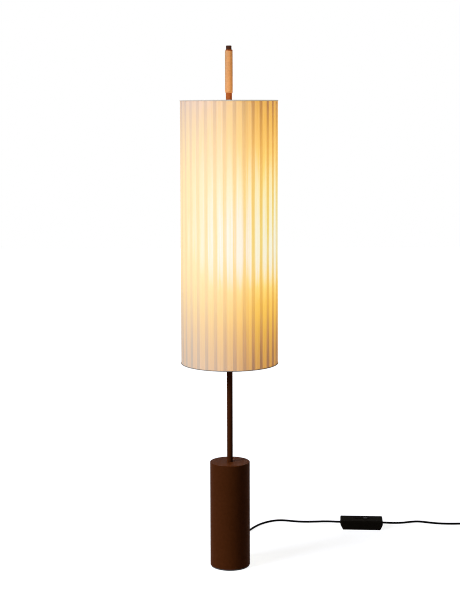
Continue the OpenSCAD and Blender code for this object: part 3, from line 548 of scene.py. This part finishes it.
shaped = add_node(tree, "GeometryNodeFilletCurve", {
    "Curve": section.outputs[0], "Radius": size["Strip Edge"], "Count": 4}, mode="POLY")
marked = stored(tree, shaped.outputs[0], "across", run.outputs["Factor"])
strip = add_node(tree, "GeometryNodeCurveToMesh", {
    "Curve": upright.outputs[0], "Profile Curve": marked, "Fill Caps": True})
close_tree(tree, strip.outputs[0], cane)
wrap_mesh = grow(
    tree, turns=cane_turns, inner_radius=wrap_high.x - cane_t, strip_width=cane_w,
    strip_thickness=cane_t, strip_edge=cane_edge, lower_end=wrap_low.z,
    height=wrap_high.z - wrap_low.z, drawn_in=cane_drawn_in)
piece("cane_wrap", wrap_mesh, cane, "cane", "handle_wrap")
leather = textured(
    "liner_leather", light=(0.47, 0.15, 0.045), dark=(0.3, 0.085, 0.02),
    roughness=0.6, grain=1500, depth=0.0001, stretch=(1, 1, 0.06), specular_ior_level=0.05)
dress(leather, "handle_liner")


# ---- shade frame ----
# Two rings of 4 mm wire, each on three arms and an eye, painted white. The eyes sit on clamp
# collars on the pole, and the bracket for the two lampholders has the same paint.
frame_white = textured(
    "frame_white", light=(0.76, 0.74, 0.69), dark=(0.68, 0.66, 0.61),
    roughness=0.45, grain=1200, depth=0.00005)
dress(frame_white, "top_ring", "bottom_ring", "top_spider", "bottom_spider", "lamp_bracket")


# ---- ribbons ----
# Thirty-two cotton ribbons stand side by side, each sewn over the next one's edge. Where two lie
# on each other less light comes through, which makes the darker stripes.
ribbon_count = 32
ribbon_w = 0.0347
ribbon_lap = 0.0085
cloth_t = 0.0003
shade_low, shade_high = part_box("shade_ribbons")
shade_h = shade_high.z - shade_low.z
shade_r = shade_high.x
soft_edge = 0.0009
lap_fade = 0.0033
seam_share = 0.4


def lapped(tree):
    """1 where two ribbons lie on each other and 0 where there is one, soft at the edges."""
    across, extra = (add_node(tree, "ShaderNodeAttribute", attribute_name=n).outputs["Fac"]
                     for n in ("across", "extra_lap"))
    left = stepped(tree, across, ribbon_lap - soft_edge, ribbon_lap + lap_fade, 1.0, 0.0)
    right_lap = ribbon_w - ribbon_lap
    right = stepped(tree, across, right_lap - soft_edge, right_lap + soft_edge, 0.0, 1.0)
    wide_lap = 2 * ribbon_lap
    seam = calc(tree, "MULTIPLY", extra, stepped(
        tree, across, wide_lap - soft_edge, wide_lap + soft_edge, seam_share, 0.0))
    return calc(tree, "MAXIMUM", calc(tree, "MAXIMUM", left, right), seam)


kept_from_others = 0.95


def shown_glow(tree, shader):
    """The glow is set for the eye, so only a little of it falls on the other pieces."""
    rays = add_node(tree, "ShaderNodeLightPath").outputs["Is Diffuse Ray"]
    tree.links.new(
        calc(tree, "SUBTRACT", 1.0, calc(tree, "MULTIPLY", rays, kept_from_others)),
        shader.inputs["Emission Strength"])


def total(tree, *terms):
    """The terms added up."""
    added = terms[0]
    for term in terms[1:]:
        added = calc(tree, "ADD", added, term)
    return added


def product(tree, *factors):
    """The factors multiplied."""
    made = factors[0]
    for factor in factors[1:]:
        made = calc(tree, "MULTIPLY", made, factor)
    return made


# Each bulb's light on the cloth: height of its middle, spread up and down, strength, and how much
# it grows to the right and to both sides. Then the light all over, and what a lap takes away.
bulb_glows = ((1.015, 0.307, 0.694, 0.352, 0.037), (0.86, 0.123, 0.169, 0.491, -0.108))
even_light, even_to_right, even_to_sides = 0.092, -0.056, -0.156
lap_dims = 0.121
# The cloth's light, from dim orange to nearly white, and how much further up these stops its blue
# is read: at both ends, on the left (painted window light from that side), and high up where the
# cloth is doubled.
light_stops = (
    (0.373, 0.161, 0.003), (0.588, 0.275, 0.009), (0.742, 0.393, 0.043), (0.898, 0.496, 0.032),
    (0.959, 0.568, 0.064), (0.994, 0.675, 0.153), (0.964, 0.795, 0.575), (0.907, 0.87, 0.69))
middle_z, half_way = 0.95, 0.35
white_at_ends, window_white_on_left, window_white_up_left, white_high_lap = 0.325, 0.145, 0.04, 0.048
# Where the light changes: from one place to another, and the value at each. Heights are in
# metres, and sides run from -1 at the left edge to 1 at the right one.
right_half = (0.2, 0.6, 0.0, 1.0)
upper_half = (0.95, 1.15, 0.0, 1.0)
brighter_low_right = (0.6, 0.8, 0.05, 0.0)
brighter_right_edge = (0.75, 0.95, 0.0, 0.03)
darker_lap_high = (1.1, 1.28, 0.03, 0.08)
darker_lap_low = (0.6, 0.75, 0.03, 0.0)
yellower_high_left = (0.0, 0.5, -0.015, 0.0)
whiter_right_edge = (0.6, 0.95, 0.0, 0.03)
whiter_low = (0.6, 0.8, 0.015, 0.0)
yellower_lap_from = (0.78, 0.92, 0.0, 0.027)
yellower_lap_to = (1.1, 1.2, 1.0, 0.0)
redder_low = (0.65, 0.8, 1.035, 1.0)
less_green_low = (0.98, 1.1, 0.965, 1.0)
greener_low_right = (0.7, 0.8, 0.05, 0.03)
less_green_high_right = (0.98, 1.27, 0.0, 0.08)
bluer_low = (0.98, 1.1, 1.07, 1.0)


def light_colour(tree, level):
    """The cloth's light at a level from 0 to 1, as red, green and blue."""
    ramp = add_node(tree, "ShaderNodeValToRGB", {0: level})
    while len(ramp.color_ramp.elements) < len(light_stops):
        ramp.color_ramp.elements.new(0.5)
    for n, (element, colour) in enumerate(zip(ramp.color_ramp.elements, light_stops)):
        element.position, element.color = n / (len(light_stops) - 1), (*colour, 1)
    return add_node(tree, "ShaderNodeSeparateColor", {0: ramp.outputs[0]}).outputs


def lamplight(tree, thick):
    """Light that comes through the cloth, from how near the two bulbs are and how thick it is, and
    a whiter cast on the left that is painted window light.
    """
    place = add_node(tree, "ShaderNodeSeparateXYZ", {
        0: add_node(tree, "ShaderNodeTexCoord").outputs["Object"]}).outputs
    height = place["Z"]
    aside = calc(tree, "DIVIDE", place["X"], shade_r)
    round_side = product(tree, aside, aside)

    def up(change):
        return stepped(tree, height, *change)

    def across(change):
        return stepped(tree, aside, *change)

    # How bright: the bulbs, a little more low on the right, less through doubled cloth.
    right = across(right_half)
    level = total(tree, even_light, total(
        tree, product(tree, aside, even_to_right), product(tree, round_side, even_to_sides)))
    for bulb_z, spread, strength, lean, bulge in bulb_glows:
        off = calc(tree, "DIVIDE", calc(tree, "SUBTRACT", height, bulb_z), spread)
        side = total(tree, product(tree, aside, lean), product(tree, round_side, bulge))
        fall = calc(tree, "SUBTRACT", side, product(tree, off, off))
        level = total(tree, level, product(tree, calc(tree, "EXPONENT", fall), strength))
    level = total(tree, level, product(tree, right, up(brighter_low_right)),
                  across(brighter_right_edge))
    both_ends = total(tree, up(darker_lap_high), up(darker_lap_low))
    dims = total(tree, lap_dims, product(tree, right, both_ends))
    level = calc(tree, "SUBTRACT", level, product(tree, thick, dims))

    # How white: how much further up the stops the blue is read. The whiter cast on the left is
    # painted window light from that side.
    end = calc(tree, "DIVIDE", calc(tree, "SUBTRACT", height, middle_z), half_way)
    on_left = total(tree, product(tree, end, window_white_up_left), window_white_on_left)
    whiter = calc(tree, "SUBTRACT", product(tree, end, end, white_at_ends),
                  product(tree, aside, on_left))
    high = total(tree, product(tree, thick, white_high_lap), across(yellower_high_left))
    whiter = total(tree, whiter, product(tree, up(upper_half), high),
                   across(whiter_right_edge), up(whiter_low))
    beside_bulbs = product(tree, up(yellower_lap_from), up(yellower_lap_to))
    whiter = calc(tree, "SUBTRACT", whiter, product(tree, beside_bulbs, right, thick))

    # Last tints: a little redder at the bottom, less green and bluer up to the middle.
    plain, bluish = light_colour(tree, level), light_colour(tree, total(tree, level, whiter))
    green_right = calc(tree, "SUBTRACT", up(greener_low_right), up(less_green_high_right))
    greener = total(tree, up(less_green_low), product(tree, right, green_right))
    return add_node(tree, "ShaderNodeCombineColor", {
        0: product(tree, plain[0], up(redder_low)), 1: product(tree, plain[1], greener),
        2: product(tree, bluish[2], up(bluer_low))}).outputs[0]


# The outside: white cotton, with a little more or less light in thin upright streaks, and a
# mauve veil where it is doubled.
streaks = 1.6
warmer_veil = (0.3, 0.7, 0.0, 1.0)
ribbon, tree, shader = surface("ribbon", 0.8, specular_ior_level=0.05, sheen_weight=0.1)
object_place = add_node(tree, "ShaderNodeTexCoord").outputs["Object"]
streak_place = add_node(tree, "ShaderNodeMapping", {
    "Vector": object_place, "Scale": (1, 1, 0.02)})
threads = add_node(tree, "ShaderNodeTexNoise", {
    "Vector": streak_place.outputs[0], "Scale": 280.0, "Detail": 3.0})
uneven = calc(tree, "MULTIPLY", calc(tree, "SUBTRACT", threads.outputs[0], 0.5), streaks)
doubled = lapped(tree)
sideways = calc(tree, "DIVIDE", add_node(
    tree, "ShaderNodeSeparateXYZ", {0: object_place}).outputs[0], shade_r)
veil = mixed_colour(tree, stepped(tree, sideways, *warmer_veil),
                    (0.892, 0.855, 1.0), (0.88, 0.805, 0.95))
light = lamplight(tree, calc(tree, "ADD", doubled, uneven))
tree.links.new(mixed_colour(tree, doubled, light, veil, "MULTIPLY"),
               shader.inputs["Emission Color"])
tree.links.new(mixed_colour(tree, doubled, (0.33, 0.472, 0.415), (0.424, 0.545, 0.46)),
               shader.inputs["Base Color"])
shown_glow(tree, shader)
ribs = add_node(tree, "ShaderNodeTexWave", {
    "Vector": object_place, "Scale": 180.0, "Distortion": 0.4, "Detail": 1.0},
    wave_type="BANDS", bands_direction="Z")
relief(tree, shader, ribs.outputs["Fac"], depth=0.0001)

# The inside, seen through the open ends, is a shade dimmer.
ribbon_inside, tree, shader = surface("ribbon_inside", 0.85, specular_ior_level=0.1)
shader.inputs["Base Color"].default_value = (0.55, 0.5, 0.42, 1)
dimmed = mixed_colour(tree, 1.0, lamplight(tree, lapped(tree)), (0.75, 0.7, 0.6), "MULTIPLY")
tree.links.new(dimmed, shader.inputs["Emission Color"])
shown_glow(tree, shader)

tree, size = make_tree(
    "ribbon_shade", count=0, width=0.0, height=0.0, lower_edge=0.0, outer_radius=0.0,
    drop=0.0, first_angle=0.0, seam_ribbon=0)
posts = add_node(tree, "GeometryNodeMeshLine", {"Count": size["Count"]})
number = add_node(tree, "GeometryNodeInputIndex").outputs[0]
numbered = stored(tree, posts.outputs[0], "number", number)
cloth = add_node(tree, "GeometryNodeMeshGrid", {
    "Size X": 1.0, "Size Y": 1.0, "Vertices X": 9, "Vertices Y": 49})
spot = add_node(tree, "ShaderNodeSeparateXYZ", {
    0: add_node(tree, "GeometryNodeInputPosition").outputs[0]})
u, v = (calc(tree, "ADD", spot.outputs[k], 0.5) for k in (0, 1))
strip = stored(tree, cloth.outputs[0], "across", calc(tree, "MULTIPLY", u, size["Width"]))
strip = stored(tree, strip, "up", v)
laid = add_node(tree, "GeometryNodeInstanceOnPoints", {"Points": numbered, "Instance": strip})
joined = add_node(tree, "GeometryNodeRealizeInstances", {0: laid.outputs[0]})


def named(tree, name):
    """Value of a named attribute."""
    return add_node(
        tree, "GeometryNodeInputNamedAttribute", {"Name": name}, data_type="FLOAT").outputs[0]


number, across, up = (named(tree, n) for n in ("number", "across", "up"))
from_middle = calc(tree, "SUBTRACT", across, calc(tree, "DIVIDE", size["Width"], 2.0))
step_angle = calc(tree, "DIVIDE", 2 * math.pi, size["Count"])
own_angle = calc(
    tree, "ADD", size["First Angle"], calc(tree, "MULTIPLY", number, step_angle))
angle = calc(tree, "ADD", own_angle, calc(tree, "DIVIDE", from_middle, size["Outer Radius"]))
sway_angle = 0.006
sway = add_node(tree, "ShaderNodeTexNoise", {
    "Vector": add_node(tree, "ShaderNodeCombineXYZ", {
        0: calc(tree, "MULTIPLY", number, 7.3), 1: calc(tree, "MULTIPLY", up, 5.0)}).outputs[0],
    "Scale": 1.0, "Detail": 1.0})
angle = calc(tree, "ADD", angle, calc(
    tree, "MULTIPLY", calc(tree, "SUBTRACT", sway.outputs[0], 0.5), sway_angle))
radius = calc(tree, "SUBTRACT", size["Outer Radius"],
              calc(tree, "MULTIPLY", size["Drop"], calc(tree, "DIVIDE", across, size["Width"])))
moved = add_node(tree, "GeometryNodeSetPosition", {
    0: joined.outputs[0],
    "Position": add_node(tree, "ShaderNodeCombineXYZ", {
        0: product(tree, radius, calc(tree, "SINE", angle)),
        1: product(tree, radius, calc(tree, "COSINE", angle), -1.0),
        2: total(tree, size["Lower Edge"], product(tree, up, size["Height"])),
    }).outputs[0]})
is_seam = calc(tree, "COMPARE", number, size["Seam Ribbon"], 0.1)
seamed = stored(tree, moved.outputs[0], "extra_lap", is_seam)
close_tree(tree, seamed, ribbon)
ribbon_mesh = grow(
    tree, count=ribbon_count, width=ribbon_w, height=shade_h, lower_edge=shade_low.z,
    outer_radius=shade_r - 0.0003, drop=0.0007, first_angle=math.radians(0.2), seam_ribbon=2)
ribbon_mesh.materials.append(ribbon_inside)
blank = bpy.data.objects.new("cloth_blank", ribbon_mesh)
scene.collection.objects.link(blank)
wall = blank.modifiers.new("cloth", "SOLIDIFY")
wall.thickness, wall.offset, wall.material_offset = cloth_t, -1, 1
ribbon_mesh = bpy.data.meshes.new_from_object(
    blank.evaluated_get(bpy.context.evaluated_depsgraph_get()))
bpy.data.objects.remove(blank)
ribbons = piece("ribbon_shade", ribbon_mesh, ribbon, "ribbon", "shade_ribbons")
ribbon_mesh.set_sharp_from_angle(angle=math.radians(40))


# ---- bindings ----
# Narrow cotton tapes, folded over the ribbons' cut ends above and below, pulled tight on the
# ring and sewn through with a row of short stitches.
hem_cloth, tree, shader = surface("hem_cloth", 0.85, specular_ior_level=0.1)
place = add_node(tree, "ShaderNodeTexCoord").outputs["Object"]
twill = add_node(tree, "ShaderNodeTexVoronoi", {"Vector": place, "Scale": 1400.0})
relief(tree, shader, twill.outputs[0], depth=0.0002)
hem_height = add_node(tree, "ShaderNodeSeparateXYZ", {0: place}).outputs[2]
upper_tape = (0.8, 1.1, 0.0, 1.0)
upper = stepped(tree, hem_height, *upper_tape)
# The lower tape gets a darker cloth colour and a much weaker glow than the upper one: painted shade
# along the shade's lower edge.
tree.links.new(mixed_colour(tree, upper, (0.3, 0.26, 0.21), (0.5, 0.46, 0.42)),
               shader.inputs["Base Color"])
tree.links.new(mixed_colour(tree, upper, (0.05, 0.033, 0.018), (0.38, 0.33, 0.25)),
               shader.inputs["Emission Color"])
shown_glow(tree, shader)

tree, size = make_tree(
    "binding", outer_radius=0.0, thickness=0.0, height=0.0, middle=0.0, fold=0.0,
    stitches=0, stitch_length=0.0, thread_radius=0.0)
around = add_node(tree, "GeometryNodeCurvePrimitiveCircle", {
    "Resolution": 160,
    "Radius": calc(tree, "SUBTRACT", size["Outer Radius"],
                   calc(tree, "DIVIDE", size["Thickness"], 2.0))})
fold = add_node(tree, "GeometryNodeCurvePrimitiveQuadrilateral", {
    "Width": size["Thickness"], "Height": size["Height"]})
rounded = add_node(tree, "GeometryNodeFilletCurve", {
    "Curve": fold.outputs[0], "Radius": size["Fold"], "Count": 4}, mode="POLY")
tape = add_node(tree, "GeometryNodeCurveToMesh", {
    "Curve": around.outputs[0], "Profile Curve": rounded.outputs[0]})
seats = add_node(tree, "GeometryNodeCurvePrimitiveCircle", {
    "Resolution": size["Stitches"], "Radius": size["Outer Radius"]})
thread = add_node(tree, "GeometryNodeMeshUVSphere", {
    "Segments": 6, "Rings": 5, "Radius": size["Thread Radius"]})
longer = calc(tree, "DIVIDE", size["Stitch Length"],
              calc(tree, "MULTIPLY", size["Thread Radius"], 2.0))
pulled = add_node(tree, "GeometryNodeTransform", {
    0: thread.outputs[0],
    "Scale": add_node(tree, "ShaderNodeCombineXYZ", {0: 1.0, 1: 1.0, 2: longer}).outputs[0]})
laid_over = add_node(tree, "FunctionNodeAlignRotationToVector", {
    "Vector": add_node(tree, "GeometryNodeInputTangent").outputs[0]}, axis="Z")
seam = add_node(tree, "GeometryNodeInstanceOnPoints", {
    "Points": seats.outputs[0], "Instance": pulled.outputs[0], "Rotation": laid_over.outputs[0]})
both = add_node(tree, "GeometryNodeJoinGeometry")
for part in (tape, seam):
    tree.links.new(part.outputs[0], both.inputs[0])
lifted = add_node(tree, "GeometryNodeTransform", {
    0: both.outputs[0],
    "Translation": add_node(tree, "ShaderNodeCombineXYZ", {2: size["Middle"]}).outputs[0]})
close_tree(tree, lifted.outputs[0], hem_cloth)
tape_proud = 0.0003
for end in ("top", "bottom"):
    low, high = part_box("shade_hem_" + end)
    hem_mesh = grow(
        tree, outer_radius=high.x + tape_proud, thickness=0.0024, height=high.z - low.z,
        middle=(high.z + low.z) / 2, fold=0.0007, stitches=240, stitch_length=0.0022,
        thread_radius=0.00022)
    piece("hem_" + end, hem_mesh, hem_cloth, "hem", "shade_hem_" + end)


# ---- lampholders and bulbs ----
# White plastic holders with a ceramic block inside, one upright on the left arm and one hanging
# from the right, each with a frosted bulb.
holder_white = textured(
    "holder_white", light=(0.78, 0.76, 0.7), dark=(0.7, 0.68, 0.62),
    roughness=0.38, grain=1500, depth=0.00003)
ceramic = textured(
    "ceramic", light=(0.72, 0.72, 0.7), dark=(0.64, 0.64, 0.62),
    roughness=0.25, grain=600, depth=0.00002)
bulb_cap = textured(
    "bulb_cap", light=(0.7, 0.7, 0.7), dark=(0.6, 0.6, 0.6),
    roughness=0.25, grain=900, depth=0.00001, metallic=1.0)
frosted, tree, shader = surface("frosted_glass", 0.5, emission_strength=1.0)
shader.inputs["Base Color"].default_value = (0.85, 0.83, 0.78, 1)
pearl = add_node(tree, "ShaderNodeTexNoise", {
    "Vector": add_node(tree, "ShaderNodeTexCoord").outputs["Object"], "Scale": 40.0, "Detail": 2.0})
tree.links.new(mixed_colour(tree, pearl.outputs[0], (1.0, 0.84, 0.56), (1.0, 0.9, 0.68)),
               shader.inputs["Emission Color"])
for side in ("up", "down"):
    dress(holder_white, side + "_holder_cap", side + "_holder_skirt")
    dress(ceramic, side + "_holder_insert")
    dress(bulb_cap, side + "_bulb_base")
    dress(frosted, side + "_bulb_globe")


# ---- studio ----
# A white floor and sky, a big soft light from the left, as in the photograph, and a weak one
# from behind. Small warm lights stand for what leaves the shade's open ends and reaches the
# handle, the shade's top and the base. The floor keeps the lamp's shadow.
def surroundings_seen(tree):
    """1 on rays from the camera, in gloss and through glass, 0 on those that light a surface."""
    path = add_node(tree, "ShaderNodeLightPath").outputs
    return calc(tree, "MAXIMUM", path["Is Camera Ray"],
                calc(tree, "MAXIMUM", path["Is Glossy Ray"], path["Is Transmission Ray"]))


fill_level = 0.025
floor_grey = 0.5
floor_lift = 0.88
floor_half = 9.0
floor_z = -0.0004
world = bpy.data.worlds.new("studio")
scene.world = world
world.use_nodes = True
tree = world.node_tree
tree.nodes.clear()
sky = add_node(tree, "ShaderNodeBackground", {"Color": (1, 1, 1, 1), "Strength": 1.0})
fill = add_node(tree, "ShaderNodeBackground", {"Color": (1, 1, 1, 1), "Strength": fill_level})
both = add_node(tree, "ShaderNodeMixShader", {
    0: surroundings_seen(tree), 1: fill.outputs[0], 2: sky.outputs[0]})
add_node(tree, "ShaderNodeOutputWorld", {0: both.outputs[0]})

floor_mesh = bpy.data.meshes.new("floor")
floor_mesh.from_pydata(
    [(x * floor_half, y * floor_half, floor_z) for x, y in ((-1, -1), (1, -1), (1, 1), (-1, 1))],
    [], [(0, 1, 2, 3)])
floor = bpy.data.objects.new("floor", floor_mesh)
scene.collection.objects.link(floor)
floor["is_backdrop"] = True
paper = bpy.data.materials.new("floor_paper")
paper.use_nodes = True
tree = paper.node_tree
tree.nodes.clear()
matt = add_node(tree, "ShaderNodeBsdfDiffuse", {"Color": (floor_grey, floor_grey, floor_grey, 1)})
lift = add_node(tree, "ShaderNodeEmission", {
    "Color": (1, 1, 1, 1),
    "Strength": calc(tree, "MULTIPLY", surroundings_seen(tree), floor_lift)})
both = add_node(tree, "ShaderNodeAddShader", {0: matt.outputs[0], 1: lift.outputs[0]})
add_node(tree, "ShaderNodeOutputMaterial", {0: both.outputs[0]})
floor_mesh.materials.append(paper)


def lamp(name, kind, place, aim, power, colour, **shape):
    """A light at a place, turned towards a point."""
    data = bpy.data.lights.new(name, kind)
    data.energy, data.color = power, colour
    for key, value in shape.items():
        setattr(data, key, value)
    made = bpy.data.objects.new(name, data)
    made.location = place
    made.rotation_euler = (Vector(aim) - Vector(place)).to_track_quat("-Z", "Y").to_euler()
    scene.collection.objects.link(made)
    return made


window_side, window_height = math.radians(57), math.radians(29)
window = Vector((-math.sin(window_side), -math.cos(window_side), math.tan(window_height)))
behind = Vector((0, 1, math.tan(math.radians(12))))
middle = (0, 0, 0)
lamp("window", "SUN", window, middle, power=2.15, colour=(0.92, 0.98, 1.2),
     angle=math.radians(22))
rear_light = lamp("light_from_behind", "SUN", behind, middle, power=0.8, colour=(1, 0.98, 0.95),
                  angle=math.radians(20))
rear_light.visible_glossy = False
lamp("light_on_the_handle", "SPOT", (0.2, -0.75, 1.6), (0, 0, 1.4), power=15,
     colour=(1, 0.68, 0.33), spot_size=math.radians(14), spot_blend=0.6, shadow_soft_size=0.04)
lamp("light_out_of_the_top", "AREA", (0, 0, 1.28), (0, 0, 1.6), power=0.2,
     colour=(1, 0.66, 0.34), shape="DISK", size=0.2)
lamp("light_on_the_base", "AREA", (0, -0.03, 1.25), (0, -0.03, 0), power=0.038,
     colour=(1, 0.95, 0.6), shape="DISK", size=0.16, spread=math.radians(16))
low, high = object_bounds()
